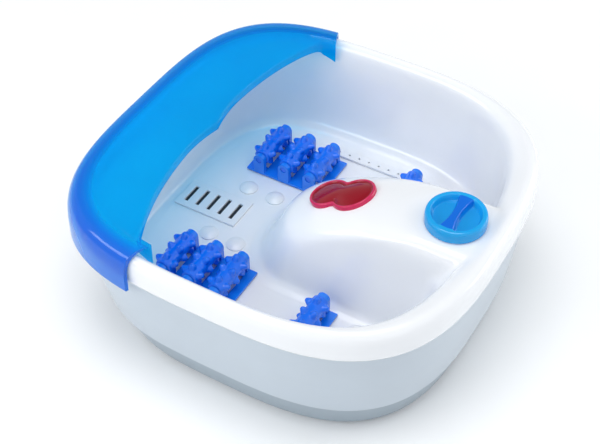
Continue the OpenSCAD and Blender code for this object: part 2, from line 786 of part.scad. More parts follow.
tub();
housing_ring();
base_pan();
rubber_feet();
base_screws();
floor_grille();
bubble_strip(-1);  // bubble_strip_left
bubble_strip(1);  // bubble_strip_right
massage_domes();
splash_guard();
knob();
switch_shaft();
switch_body();
switch_contacts();
switch_nut();
switch_gasket();
ir_lens();
lens_gasket();
lamp_holder();
ir_lamps();
lamp_reflector();
roller_tray(-1, front_tray, 3);  // front_tray_left
roller_tray(1, front_tray, 3);  // front_tray_right
roller_tray(-1, rear_tray, 1);  // rear_tray_left
roller_tray(1, rear_tray, 1);  // rear_tray_right
roller(-1, front_tray, tray_y(3, 0));  // front_roller_left_1
roller(-1, front_tray, tray_y(3, 1));  // front_roller_left_2
roller(-1, front_tray, tray_y(3, 2));  // front_roller_left_3
roller(1, front_tray, tray_y(3, 0));  // front_roller_right_1
roller(1, front_tray, tray_y(3, 1));  // front_roller_right_2
roller(1, front_tray, tray_y(3, 2));  // front_roller_right_3
roller(-1, rear_tray, 0);  // rear_roller_left
roller(1, rear_tray, 0);  // rear_roller_right
motor_can();
motor_bearings();
motor_shaft();
eccentric_weight();
blower_fan();
blower_housing();
blower_cover();
motor_cradle();
motor_mounts();
motor_straps();
strap_screws();
valve_body();
valve_ball();
valve_seal();
air_hose();
air_manifold();
heater(-1);  // heater_left
heater(1);  // heater_right
thermostat();
thermal_fuse();
terminal_block();
cord_gland();
cord_clamp();
clamp_screws();
wire_harness();
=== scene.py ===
"""Looks of a foot spa basin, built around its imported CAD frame."""
import json
import math

import bmesh
import bpy
import numpy as np
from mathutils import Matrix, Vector


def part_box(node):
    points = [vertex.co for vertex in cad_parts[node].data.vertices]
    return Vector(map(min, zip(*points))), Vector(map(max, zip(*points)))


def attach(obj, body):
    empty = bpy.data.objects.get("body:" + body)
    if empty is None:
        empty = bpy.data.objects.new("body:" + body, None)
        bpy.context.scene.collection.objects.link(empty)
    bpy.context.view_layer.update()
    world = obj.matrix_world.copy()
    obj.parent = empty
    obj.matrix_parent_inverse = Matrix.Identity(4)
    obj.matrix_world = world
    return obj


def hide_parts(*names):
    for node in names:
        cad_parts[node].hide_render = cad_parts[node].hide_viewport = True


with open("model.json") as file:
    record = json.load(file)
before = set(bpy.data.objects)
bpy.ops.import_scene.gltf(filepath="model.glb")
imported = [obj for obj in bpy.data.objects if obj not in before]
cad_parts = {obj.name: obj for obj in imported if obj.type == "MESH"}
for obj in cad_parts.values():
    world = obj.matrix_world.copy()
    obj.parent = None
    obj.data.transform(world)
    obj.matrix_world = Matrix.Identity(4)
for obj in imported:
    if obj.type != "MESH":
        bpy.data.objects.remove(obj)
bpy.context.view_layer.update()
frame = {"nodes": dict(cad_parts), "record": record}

MM = 0.001
HALF_W, HEEL_LEN, TOE_LEN = 180.0, 186.0, 184.0
HEEL_POWER, TOE_POWER = 3.0, 3.5
SKIN = 3.0
FINE = 1.0
PHI_N = int(512 * FINE)

# ---------------------------------------------------------------- small tools


def linked(name, data):
    """New object in the scene, holding the mesh, light or camera given."""
    obj = bpy.data.objects.new(name, data)
    bpy.context.scene.collection.objects.link(obj)
    return obj


def mesh_object(name, verts, faces, smooth=True):
    """Mesh from points in millimetres."""
    mesh = bpy.data.meshes.new(name)
    mesh.from_pydata((np.asarray(verts, float) * MM).tolist(), [], [list(map(int, f)) for f in faces])
    mesh.validate()
    mesh.update()
    if smooth:
        mesh.shade_smooth()
    return linked(name, mesh)


def turn(n):
    """Angles of n points round a circle."""
    return np.arange(n) * 2 * math.pi / n


def grid_faces(rows, cols, wrap=True, close_rows=False, start=0):
    """Quads of a grid of points; columns may wrap round, and so may rows."""
    out = []
    for j in range(rows if close_rows else rows - 1):
        a, b = start + j * cols, start + ((j + 1) % rows) * cols
        for i in range(cols if wrap else cols - 1):
            k = (i + 1) % cols
            out.append((a + i, a + k, b + k, b + i))
    return out


def close_poles(faces, rows, n):
    """Fans from the last ring and the first one to the two points that follow the rings."""
    top, pole = (rows - 1) * n, rows * n
    for i in range(n):
        k = (i + 1) % n
        faces.append((top + i, top + k, pole))
        faces.append((k, i, pole + 1))


def close_ends(faces, rows, n):
    """One face over the first ring and one over the last."""
    faces.append(tuple(reversed(range(n))))
    faces.append(tuple(range((rows - 1) * n, rows * n)))


def mark_painted_shade(obj, values):
    """Stores, per point, how much painted shade its colour takes, that is how far it goes toward its
    finish's darker painted shade colour.
    """
    layer = obj.data.attributes.new("painted_shade", "FLOAT", "POINT")
    layer.data.foreach_set("value", np.array(values, np.float32)[:len(obj.data.vertices)])


def pchip(x, y, at):
    """Monotone cubic through points, column by column."""
    x, y = np.asarray(x, float), np.asarray(y, float)
    if y.ndim == 1:
        return pchip(x, y[:, None], at)[:, 0]
    h = np.diff(x)[:, None]
    d = np.diff(y, axis=0) / h
    m = np.zeros_like(y)
    w1, w2 = 2 * h[1:] + h[:-1], h[1:] + 2 * h[:-1]
    same = d[:-1] * d[1:] > 0
    with np.errstate(divide="ignore", invalid="ignore"):
        inner = (w1 + w2) / (w1 / d[:-1] + w2 / d[1:])
    m[1:-1] = np.where(same, inner, 0)
    m[0], m[-1] = d[0], d[-1]
    k = np.clip(np.searchsorted(x, at) - 1, 0, len(x) - 2)
    t = ((at - x[k]) / h[k, 0])[:, None]
    a, b, hk = y[k], y[k + 1], h[k]
    return ((2 * t**3 - 3 * t**2 + 1) * a + (t**3 - 2 * t**2 + t) * hk * m[k]
            + (3 * t**2 - 2 * t**3) * b + (t**3 - t**2) * hk * m[k + 1])


def chord(points):
    """Distance along a polyline to each of its points."""
    steps = np.linalg.norm(np.diff(np.asarray(points, float), axis=0), axis=1)
    return np.concatenate([[0], np.cumsum(steps)])


def spline(points, count):
    """Count points along a smooth curve through the given ones."""
    points = np.asarray(points, float)
    s = chord(points)
    return pchip(s, points, np.linspace(0, s[-1], count))


def rounded(points, radius, closed=False, steps=4):
    """Polyline with each corner eased over about the radius, and held straight between."""
    p = np.asarray(points, float)
    n = len(p)
    out = []
    for i in range(n):
        if not closed and i in (0, n - 1):
            out.append(p[i])
            continue
        a, b, c = p[i - 1], p[i], p[(i + 1) % n]
        la, lc = np.linalg.norm(a - b), np.linalg.norm(c - b)
        r = min(radius, 0.45 * la, 0.45 * lc)
        s, e = b + (a - b) * r / la, b + (c - b) * r / lc
        for k in range(steps + 1):
            t = k / steps
            out.append((1 - t) ** 2 * s + 2 * t * (1 - t) * b + t**2 * e)
    return np.array(out)


# ---------------------------------------------------------------- basin outline


def radius_at(phi, inset):
    """Radius of the basin's outline at an angle, taken in by [side, heel, toe]."""
    inset = np.asarray(inset, float)
    c, s = np.abs(np.cos(phi)), np.sin(phi)
    heel = s < 0
    b = np.where(heel, HEEL_LEN - inset[..., 1], TOE_LEN - inset[..., 2])
    n = np.where(heel, HEEL_POWER, TOE_POWER)
    a = HALF_W - inset[..., 0]
    return ((c / a) ** n + (np.abs(s) / b) ** n) ** (-1 / n)


def obliquity(phi):
    """Cosine between the spoke and the outline's own normal."""
    d = 1e-3
    inset = np.full(np.shape(phi) + (3,), 15.0)
    r = radius_at(phi, inset)
    slope = (radius_at(phi + d, inset) - radius_at(phi - d, inset)) / (2 * d)
    return r / np.hypot(r, slope)


def loft(profile, phi_n=256):
    """Points of rings along a profile of [side, heel, toe, z] rows, ring by ring."""
    phi = turn(phi_n)
    rings = []
    for row in profile:
        r = radius_at(phi, np.broadcast_to(row[:3], (phi_n, 3)))
        rings.append(np.stack([r * np.cos(phi), r * np.sin(phi), np.full(phi_n, row[3])], 1))
    return np.concatenate(rings)


# ---------------------------------------------------------------- basin tub

UNDER = [[50, 62, 40, 39], [36, 48, 31, 40.5], [27, 38, 26, 47], [21, 33, 22.5, 62],
         [17, 28, 18, 91], [14, 25, 14, 124], [12, 22, 12, 136], [8, 14, 8, 141],
         [4.5, 6, 4.5, 139], [3, 3, 3, 133], [3.2, 3.2, 3.2, 118.4]]
OVER = [[0.7, 0.7, 0.7, 118.3], [0.2, 0.2, 0.2, 120.5], [0, 0, 0, 128], [0.8, 0.8, 0.8, 137],
        [3.4, 3.8, 3.4, 142.6], [7.5, 9.5, 7.5, 145], [11, 17, 11, 143],
        [14.5, 24, 14.5, 137.5], [16.5, 28, 16.5, 128], [20, 31, 21, 91], [24, 36, 25.5, 62],
        [29, 41, 28.5, 50], [38, 50, 33, 43.6], [50, 62, 40, 42]]
# [z, half width, tip y] of the foot rest console, up to its flat top
CONSOLE = [[41, 62, 48], [47, 57, 43], [60, 53.5, 35], [91, 48, 20], [108, 45.5, -2],
           [120, 43.5, -25], [130, 41.5, -48], [136.5, 38.8, -69], [140.4, 35.2, -84],
           [141.8, 32, -90.5], [142.4, 28.5, -96], [142.5, 25, -102]]
TIP_LEN = 42.0
# the console's fillet stays behind this y and between these sides
BLEND_Y, BLEND_X = 75, 125
# stands for a wall that goes on without end, past the last row of a profile
FAR_OFF = 400.0


def crossing(q, z):
    """Height at which the offset q, which grows along the profile, passes zero."""
    k = np.clip((q < 0).sum(1), 1, q.shape[1] - 1)
    rows = np.arange(len(q))
    a, b = q[rows, k - 1], q[rows, k]
    t = np.clip(-a / np.where(b == a, 1, b - a), 0, 1)
    h = z[k - 1] + t * (z[k] - z[k - 1])
    return np.where(q[:, 0] > 0, -1e3, h)


def gap(q, zp, z, top):
    """Signed distance from (0, z) to the profile (q, zp), positive in the open air above top."""
    ax, az = q[:, :-1], zp[None, :-1]
    dx, dz = q[:, 1:] - ax, (zp[1:] - zp[:-1])[None]
    t = np.clip((-ax * dx + (z[:, None] - az) * dz) / np.maximum(dx * dx + dz * dz, 1e-9), 0, 1)
    d = np.sqrt(((ax + t * dx) ** 2 + (az + t * dz - z[:, None]) ** 2).min(1))
    return np.where(z > top, d, -d)


def blend_width(z):
    """How wide the fillet between console and basin is at a height."""
    return np.interp(z, [44, 52, 72, 112, 132, 139], [8, 10, 26, 26, 5, 2])


def blended_height(x, y, wall, shrink):
    """Height of the basin's surface where the console grows out of it."""
    phi, r = np.arctan2(y, x), np.hypot(x, y)
    wall = spline(wall, 40)
    rw = radius_at(phi[:, None], np.broadcast_to(wall[:, :3], (len(x), len(wall), 3)))
    q1 = np.concatenate([-r[:, None], (rw - r[:, None]) * obliquity(phi)[:, None]], 1)
    q1 = np.concatenate([q1, np.full((len(x), 1), FAR_OFF)], 1)
    z1 = np.concatenate([[wall[0, 3]], wall[:, 3], [wall[-1, 3]]])
    levels = spline(np.array(CONSOLE)[:, [1, 2, 0]], 48)
    w, tip, z2 = levels[:, 0] - shrink, levels[:, 1] - shrink, levels[:, 2] - shrink
    ahead = y[:, None] - (tip - TIP_LEN)[None]
    f = np.sqrt((x[:, None] / w) ** 2 + (ahead / TIP_LEN) ** 2)
    slope = np.sqrt((x[:, None] / w**2) ** 2 + (ahead / TIP_LEN**2) ** 2)
    round_tip = f * (f - 1) / np.maximum(slope, 1e-6)
    q2 = np.where(ahead > 0, round_tip, np.abs(x)[:, None] - w)
    q2 = np.concatenate([q2, np.full((len(x), 1), FAR_OFF)], 1)
    z2 = np.append(z2, z2[-1])
    h1, h2 = crossing(q1, z1), crossing(q2, z2)
    low = np.maximum(h1, h2)
    high = low + 110
    for _ in range(15):
        mid = (low + high) / 2
        a, b = gap(q1, z1, mid, h1), gap(q2, z2, mid, h2)
        k = blend_width(mid)
        e = np.maximum(k - np.abs(a - b), 0) / k
        solid = np.minimum(a, b) - e * e * k / 4 < 0
        low, high = np.where(solid, mid, low), np.where(solid, high, mid)
    return (low + high) / 2


def build_tub():
    """Basin, its rolled rim and its console as one closed shell."""
    phi = turn(PHI_N)
    cos, sin = np.cos(phi), np.sin(phi)
    floor_n = int(104 * FINE)

    def face(side, rows, shrink):
        """One side of the shell, from the skirt to the middle of the floor, and its last point."""
        curve = spline(side, rows)
        pts = []
        for row in curve:
            r = radius_at(phi, np.broadcast_to(row[:3], (PHI_N, 3)))
            pts.append(np.stack([r * cos, r * sin, np.full(PHI_N, row[3])], 1))
        last = pts[-1]
        for s in np.linspace(1, 0, floor_n + 1)[1:-1]:
            pts.append(np.stack([last[:, 0] * s, last[:, 1] * s, last[:, 2]], 1))
        pts = np.array(pts)
        x, y, z = pts[..., 0], pts[..., 1], pts[..., 2]
        crest = int(np.argmax(curve[:, 3]))
        near = (np.arange(len(pts))[:, None] > crest + 1) & (y < BLEND_Y) & (np.abs(x) < BLEND_X)
        wall = np.array(side[int(np.argmax(np.array(side)[:, 3])):])[::-1]
        h = blended_height(x[near], y[near], wall, shrink)
        z[near] = np.maximum(z[near], h)
        centre = blended_height(np.array([0.0]), np.array([1e-3]), wall, shrink)[0]
        return pts.reshape(-1, 3), len(pts), np.array([[0, 0, centre]])

    over, n_over, top = face(OVER, int(120 * FINE), 0.0)
    under, n_under, low = face(UNDER[::-1], int(44 * FINE), SKIN)
    verts = np.concatenate([over, under, top, low])
    faces = [f[::-1] for f in grid_faces(n_over, PHI_N)]
    faces += grid_faces(n_under, PHI_N, start=len(over))
    base, pole = len(over), len(over) + len(under)
    for i in range(PHI_N):
        k = (i + 1) % PHI_N
        faces.append((i, k, base + k, base + i))
        a = (n_over - 1) * PHI_N
        faces.append((a + k, a + i, pole))
        b = base + (n_under - 1) * PHI_N
        faces.append((b + i, b + k, pole + 1))
    return mesh_object("basin_shell", verts, faces)


# ---------------------------------------------------------------- materials


PLASTIC_IOR = 1.48


def shader(name, colour, rough=0.3, metal=0.0, coat=0.0, coat_rough=0.08, vary=0.04,
           vary_scale=18.0, grain=0.02, grain_scale=900.0, spec=0.5, dust=0.0):
    """Moulded or machined surface: slow colour drift, fine roughness drift and a light grain."""
    mat = bpy.data.materials.new(name)
    mat.use_nodes = True
    tree = mat.node_tree
    nodes, links = tree.nodes, tree.links
    bsdf = nodes["Principled BSDF"]
    bsdf.inputs["Metallic"].default_value = metal
    bsdf.inputs["IOR"].default_value = PLASTIC_IOR
    bsdf.inputs["Specular IOR Level"].default_value = spec
    bsdf.inputs["Coat Weight"].default_value = coat
    bsdf.inputs["Coat Roughness"].default_value = coat_rough
    where = nodes.new("ShaderNodeTexCoord")
    slow = nodes.new("ShaderNodeTexNoise")
    slow.inputs["Scale"].default_value = vary_scale
    slow.inputs["Detail"].default_value = 3.0
    links.new(where.outputs["Object"], slow.inputs["Vector"])
    ramp = nodes.new("ShaderNodeValToRGB")
    low = [max(0.0, c * (1 - vary)) for c in colour]
    high = [min(1.0, c * (1 + vary)) for c in colour]
    ramp.color_ramp.elements[0].position = 0.3
    ramp.color_ramp.elements[0].color = (*low, 1)
    ramp.color_ramp.elements[1].position = 0.7
    ramp.color_ramp.elements[1].color = (*high, 1)
    links.new(slow.outputs["Fac"], ramp.inputs["Fac"])
    links.new(ramp.outputs["Color"], bsdf.inputs["Base Color"])
    fine = nodes.new("ShaderNodeTexNoise")
    fine.inputs["Scale"].default_value = grain_scale
    fine.inputs["Detail"].default_value = 2.0
    links.new(where.outputs["Object"], fine.inputs["Vector"])
    span = nodes.new("ShaderNodeMapRange")
    span.inputs["To Min"].default_value = max(0.02, rough * (0.85 - dust))
    span.inputs["To Max"].default_value = min(1.0, rough * (1.15 + dust))
    links.new(slow.outputs["Fac"], span.inputs["Value"])
    links.new(span.outputs["Result"], bsdf.inputs["Roughness"])
    bump = nodes.new("ShaderNodeBump")
    bump.inputs["Strength"].default_value = grain
    bump.inputs["Distance"].default_value = 0.0004
    links.new(fine.outputs["Fac"], bump.inputs["Height"])
    links.new(bump.outputs["Normal"], bsdf.inputs["Normal"])
    return mat


def see_through(name, colour, tint, clear, rough=0.06, painted_shade=None, coat=0.6, spec=0.5):
    """Tinted translucent plastic, turned denser and toward its darker painted shade colour where the
    per-point painted shade weight says so.
    """
    mat = shader(name, colour, rough=rough, coat=coat, coat_rough=0.04, vary=0.05,
                 vary_scale=9.0, grain=0.012, spec=spec)
    nodes, links = mat.node_tree.nodes, mat.node_tree.links
    bsdf, out = nodes["Principled BSDF"], nodes["Material Output"]
    clear_node = nodes.new("ShaderNodeBsdfTransparent")
    clear_node.inputs["Color"].default_value = (*tint, 1)
    mix = nodes.new("ShaderNodeMixShader")
    mix.inputs["Fac"].default_value = 1 - clear
    links.new(clear_node.outputs["BSDF"], mix.inputs[1])
    links.new(bsdf.outputs["BSDF"], mix.inputs[2])
    links.new(mix.outputs["Shader"], out.inputs["Surface"])
    # painted shade: the per-point weight pulls the base colour toward the darker painted shade colour
    # and makes the plastic less clear
    if painted_shade:
        source = nodes.new("ShaderNodeAttribute")
        source.attribute_name = "painted_shade"
        base = bsdf.inputs["Base Color"].links[0].from_socket
        blend = nodes.new("ShaderNodeMix")
        blend.data_type = "RGBA"
        blend.inputs[7].default_value = (*painted_shade, 1)
        links.new(source.outputs["Fac"], blend.inputs[0])
        links.new(base, blend.inputs[6])
        links.new(blend.outputs[2], bsdf.inputs["Base Color"])
        span = nodes.new("ShaderNodeMapRange")
        span.inputs["To Min"].default_value = 1 - clear
        span.inputs["To Max"].default_value = 1 - 0.45 * clear
        links.new(source.outputs["Fac"], span.inputs["Value"])
        links.new(span.outputs["Result"], mix.inputs["Fac"])
    return mat


FINISH = {
    "white_shell": shader("white_gloss", (0.83, 0.85, 0.88), rough=0.2, coat=0.45, vary=0.012,
                          grain=0.015),
    "grey_shell": shader("pale_grey_gloss", (0.49, 0.56, 0.63), rough=0.3, coat=0.25, vary=0.02),
    "pan_grey": shader("plinth_grey", (0.30, 0.37, 0.43), rough=0.36, coat=0.12, vary=0.03),
    "foot_rubber": shader("foot_rubber", (0.045, 0.047, 0.05), rough=0.75, vary=0.2, grain=0.3,
                          grain_scale=500.0, dust=0.1),
    "screw_steel": shader("screw_steel", (0.62, 0.62, 0.61), rough=0.28, metal=1.0, vary=0.06,
                          grain=0.06),
    "inner_white": shader("inner_white", (0.80, 0.82, 0.85), rough=0.3, coat=0.2, vary=0.02),
    # knob_blue: the last colour is painted shade for the grip bar and the dial face
    "knob_blue": see_through("knob_blue", (0.012, 0.46, 0.90), (0.02, 0.62, 1.0), 0.3,
                             painted_shade=(0.0, 0.15, 0.72), rough=0.07, coat=0.35),
    # guard_blue: the last colour is the rolled band's painted shade
    "guard_blue": see_through("guard_blue", (0.0, 0.44, 0.93), (0.0, 0.80, 1.0), 0.74,
                              painted_shade=(0.0, 0.14, 0.76), rough=0.1, coat=0.5),
    "shaft_steel": shader("shaft_steel", (0.66, 0.66, 0.65), rough=0.2, metal=1.0, vary=0.05,
                          grain=0.05, grain_scale=1500.0),
    "black_plastic": shader("black_plastic", (0.022, 0.023, 0.026), rough=0.42, vary=0.15,
                            grain=0.12, grain_scale=1400.0),
    "contact_brass": shader("contact_brass", (0.78, 0.55, 0.22), rough=0.3, metal=1.0, vary=0.08,
                            grain=0.05),
    # lens_red: the first colour is the rim's painted highlight, the last is the dome's painted shade
    "lens_red": see_through("lens_red", (0.62, 0.02, 0.10), (0.9, 0.02, 0.06), 0.04,
                            painted_shade=(0.27, 0.0, 0.010), coat=0.2, spec=0.35),
    "holder_white": shader("holder_ceramic", (0.78, 0.76, 0.70), rough=0.5, vary=0.04, grain=0.1),
    "lamp_glass": see_through("lamp_glass", (0.55, 0.12, 0.06), (1.0, 0.45, 0.3), 0.45,
                              rough=0.05),
    "reflector": shader("reflector", (0.86, 0.86, 0.85), rough=0.12, metal=1.0, vary=0.02,
                        grain=0.02),
    "tray_blue": shader("tray_blue", (0.004, 0.20, 0.86), rough=0.26, coat=0.3, vary=0.05),
    "roller_blue": shader("roller_blue", (0.0, 0.155, 0.86), rough=0.22, coat=0.4, vary=0.06),
    "motor_steel": shader("motor_steel", (0.50, 0.51, 0.52), rough=0.38, metal=1.0, vary=0.08,
                          grain=0.08, grain_scale=1100.0),
    "weight_iron": shader("weight_iron", (0.22, 0.21, 0.21), rough=0.55, metal=1.0, vary=0.15,
                          grain=0.25, grain_scale=700.0),
    "inner_grey": shader("inner_grey", (0.55, 0.56, 0.58), rough=0.45, vary=0.04, grain=0.08),
    "ball_orange": shader("ball_orange", (0.72, 0.13, 0.02), rough=0.5, vary=0.08, grain=0.15),
    "heater_foil": shader("heater_foil", (0.66, 0.42, 0.12), rough=0.35, metal=0.6, vary=0.14,
                          vary_scale=60.0, grain=0.2, grain_scale=350.0),
    "fuse_ceramic": shader("fuse_ceramic", (0.68, 0.60, 0.48), rough=0.5, vary=0.05, grain=0.1),
    "wire_blue": shader("wire_blue", (0.02, 0.07, 0.32), rough=0.4, vary=0.06, grain=0.06),
}


SLOT_OF = {p["node"]: p["material_slot"] for p in frame["record"]["subparts"]}
BODY_OF = {n: b for b, ns in frame["record"]["behaviour"]["bodies"].items() for n in ns}


def piece(obj, *nodes, slot=None):
    """Gives a new piece its finish, its body and the CAD nodes that it stands for."""
    body = BODY_OF[nodes[0]] if nodes else "basin"
    slot = slot or SLOT_OF[nodes[0]]
    obj.data.materials.clear()
    obj.data.materials.append(FINISH[slot])
    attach(obj, body)
    if nodes:
        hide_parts(*nodes)
    return obj


def softened(node, width):
    """A CAD node's shape with its sharp edges rounded over."""
    bm = bmesh.new()
    bm.from_mesh(frame["nodes"][node].data)
    bmesh.ops.remove_doubles(bm, verts=bm.verts, dist=1e-6)
    bmesh.ops.dissolve_limit(bm, angle_limit=math.radians(0.5), verts=bm.verts, edges=bm.edges)
    sharp = [e for e in bm.edges
             if len(e.link_faces) == 2 and e.calc_face_angle(0) > math.radians(32)]
    bmesh.ops.bevel(bm, geom=sharp, offset=width * MM, segments=2, profile=0.5,
                    affect="EDGES", clamp_overlap=True)
    mesh = bpy.data.meshes.new(node + "_soft")
    bm.to_mesh(mesh)
    bm.free()
    mesh.shade_smooth()
    mesh.set_sharp_from_angle(angle=math.radians(50))
    obj = linked(node + "_soft", mesh)
    weighted = obj.modifiers.new("weighted", "WEIGHTED_NORMAL")
    weighted.keep_sharp = True
    return piece(obj, node)


def cut(obj, cutters):
    """Takes closed cutters out of a closed mesh, for good."""
    for cutter in cutters:
        mod = obj.modifiers.new("cut", "BOOLEAN")
        mod.object, mod.operation, mod.solver = cutter, "DIFFERENCE", "EXACT"
    graph = bpy.context.evaluated_depsgraph_get()
    mesh = bpy.data.meshes.new_from_object(obj.evaluated_get(graph))
    obj.modifiers.clear()
    obj.data = mesh
    for cutter in cutters:
        bpy.data.objects.remove(cutter)
    return obj


def bore(name, radius, depth, x, y):
    """Upright closed cylinder that cuts a hole of the depth up into the pan."""
    n = 32
    verts = [(x + radius * math.cos(a), y + radius * math.sin(a), z)
             for z in (-2, depth) for a in turn(n)]
    faces = grid_faces(2, n)
    close_ends(faces, 2, n)
    return mesh_object(name, verts, faces)


# ---------------------------------------------------------------- housing and base pan

HOUSING = [[14.6, 13.6, 24.6, 36.2], [12, 11, 22, 36], [7.2, 7, 12, 72], [4.4, 4.4, 5.4, 112],
           [3.8, 3.8, 3.8, 118], [3.8, 3.8, 3.8, 128], [6.4, 6.4, 6.4, 128], [7, 7, 8, 112],
           [10, 9.6, 14.6, 72]]
PAN = [[28, 26, 45, 3], [23, 21, 40, 5], [14.2, 13.2, 24.2, 33], [13, 12, 23, 36],
       [15, 14, 25, 36], [15.2, 14.2, 25.2, 41], [17.2, 16.2, 27.2, 41],
       [17.6, 16.6, 27.6, 33], [26, 24, 43, 6]]
SCREW_AT = [(62, 122), (128, -66), (96, -118)]
FOOT_AT = [(108, 90), (112, -110)]
GLAND_Z = 20


def build_housing():
    """Grey band between the rim's skirt and the pan, with its wall."""
    rows = rounded(HOUSING, 2.2, closed=True)
    n = 256
    faces = grid_faces(len(rows), n, close_rows=True)
    return mesh_object("housing_band", loft(rows, n), faces)


def build_pan():
    """Darker base pan, open on top, with screw holes and foot seats underneath."""
    rows = rounded(PAN, 1.6)
    n = 256
    faces = grid_faces(len(rows), n)
    close_ends(faces, len(rows), n)
    pan = mesh_object("plinth_pan", loft(rows, n), faces)
    holes = []
    for kind, places, radius, depth in (("hole", SCREW_AT, 4.2, 8.8), ("seat", FOOT_AT, 4.6, 5.8)):
        for i, (x, y) in enumerate(places):
            for side in (-1, 1):
                holes.append(bore(f"{kind}_{i}_{side}", radius, depth, side * x, y))
    return cut(pan, holes)


def build_gland_boss():
    """Collar on the pan's toe end, round the cord gland."""
    profile = rounded([(6.9, 146), (6.9, 150.8), (9.4, 150.8), (9.4, 150), (9.5, 132)], 0.7)
    rows = [(6.9, 132.0), *profile]
    n = 72
    verts = [(r * math.cos(a), y, GLAND_Z - r * math.sin(a)) for r, y in rows for a in turn(n)]
    return mesh_object("gland_boss", verts, grid_faces(len(rows), n, close_rows=True))


# ---------------------------------------------------------------- splash guard

# where the band's two ends are, in degrees round from the side
HORN = 22.0
# y of the sheet's free edge: in the middle, how much less at the sides, and its finger notch
EDGE_Y, EDGE_SWEEP, NOTCH, NOTCH_HALF = 106, 42, 6, 45


def build_guard():
    """Rolled band over the toe end of the rim, with a clear sheet reaching in over the well."""
    stations = int(200 * FINE) + 1
    verts, painted_shade = [], []
    for t in np.linspace(1, -1, stations):
        phi = math.radians(90 - t * (90 - HORN))
        c, s = math.cos(phi), math.sin(phi)

        def out(d, z):
            """Point outside the rim's outline by d, at a height."""
            r = float(radius_at(phi, np.array([-d, -d, -d])))
            return np.array([r * c, r * s, z])

        far, near = out(-17, 0)[:2], out(-21, 0)[:2]
        x = abs(near[0])
        notch = NOTCH * max(0.0, 1 - x / NOTCH_HALF) ** 2
        edge = EDGE_Y - EDGE_SWEEP * (x / 180) ** 2.6 - notch
        lip = np.array([near[0], min(edge, near[1])])
        span = lip - far
        d = span / np.linalg.norm(span)
        drop = 142 - 14 * abs(t) ** 8

        def at(e, z):
            """Point past the sheet's free edge by e."""
            return np.array([*(lip + d * e), z])

        def mid(k, z):
            """Point on the sheet, from the rim (0) to the free edge (1)."""
            return np.array([*(far + span * k), z])

        under = spline([out(2.6, 112), out(2.2, 124), out(2, 132), out(0.2, 140),
                        out(-4.5, 146.6), out(-11, 148.9)], 16)
        over = spline([out(-11, 151.6), out(-2.6, 149.6), out(2.6, 143), out(4.8, 133),
                       out(5.3, 122), out(5.4, 113)], 22)
        foot = rounded([over[-1], out(5.2, 112.1), out(2.9, 112), under[0]], 0.8, steps=2)[1:-1]
        sheet_under = rounded([under[-1], mid(0, 148.6), mid(0.4, 147.6), at(-1.6, 148.4),
                               at(-1.3, 147.2), at(-1.2, drop)], 1.6)[1:]
        sheet_over = rounded([at(-1.2, drop), at(0.9, drop), at(1.2, 150.2), at(-0.3, 151.3),
                              mid(0.4, 150.2), mid(0, 151.6), over[0]], 1.2)[1:-1]
        ring = np.concatenate([under, sheet_under, sheet_over, over, foot])
        # painted shade: the rolled band (under, foot, and over rising from 0.45 at its inner edge)
        # goes to the darker blue and turns denser; the sheet gets none
        shade = [1.0] * len(under) + [0.0] * (len(sheet_under) + len(sheet_over))
        shade += list(np.interp(np.arange(len(over)), [0, 2, 6], [0.45, 0.8, 1.0]))
        shade += [1.0] * len(foot)
        verts.append(ring)
        painted_shade += shade
    m = len(verts[0])
    verts = np.concatenate(verts)
    faces = grid_faces(stations, m)
    obj = mesh_object("guard_sheet", verts, faces)
    bm = bmesh.new()
    bm.from_mesh(obj.data)
    bm.verts.ensure_lookup_table()
    for start in (0, (stations - 1) * m):
        loop = [bm.verts[start + i] for i in range(m)]
        edges = []
        for i in range(m):
            found = bm.edges.get((loop[i], loop[(i + 1) % m]))
            if found:
                edges.append(found)
        bmesh.ops.triangle_fill(bm, use_beauty=True, use_dissolve=False, edges=edges)
    bmesh.ops.recalc_face_normals(bm, faces=bm.faces)
    bm.to_mesh(obj.data)
    bm.free()
    mark_painted_shade(obj, painted_shade)
    obj.data.shade_smooth()
    obj.data.set_sharp_from_angle(angle=math.radians(60))
    return obj


# ---------------------------------------------------------------- knob

KNOB_AT = (0.0, -139.0, 143.1)
KNOB_H, GRIP_HALF, GRIP_FLARE, GRIP_REACH = 11.2, 4.6, 2.6, 19.0


def ease(x, low, high):
    """Smooth step from 0 at low to 1 at high."""
    t = np.clip((np.asarray(x, float) - low) / (high - low), 0, 1)
    return t * t * (3 - 2 * t)


def grip_half(x):
    """Half width of the grip bar, which flares toward its ends."""
    return GRIP_HALF + GRIP_FLARE * (np.abs(x) / GRIP_REACH) ** 2


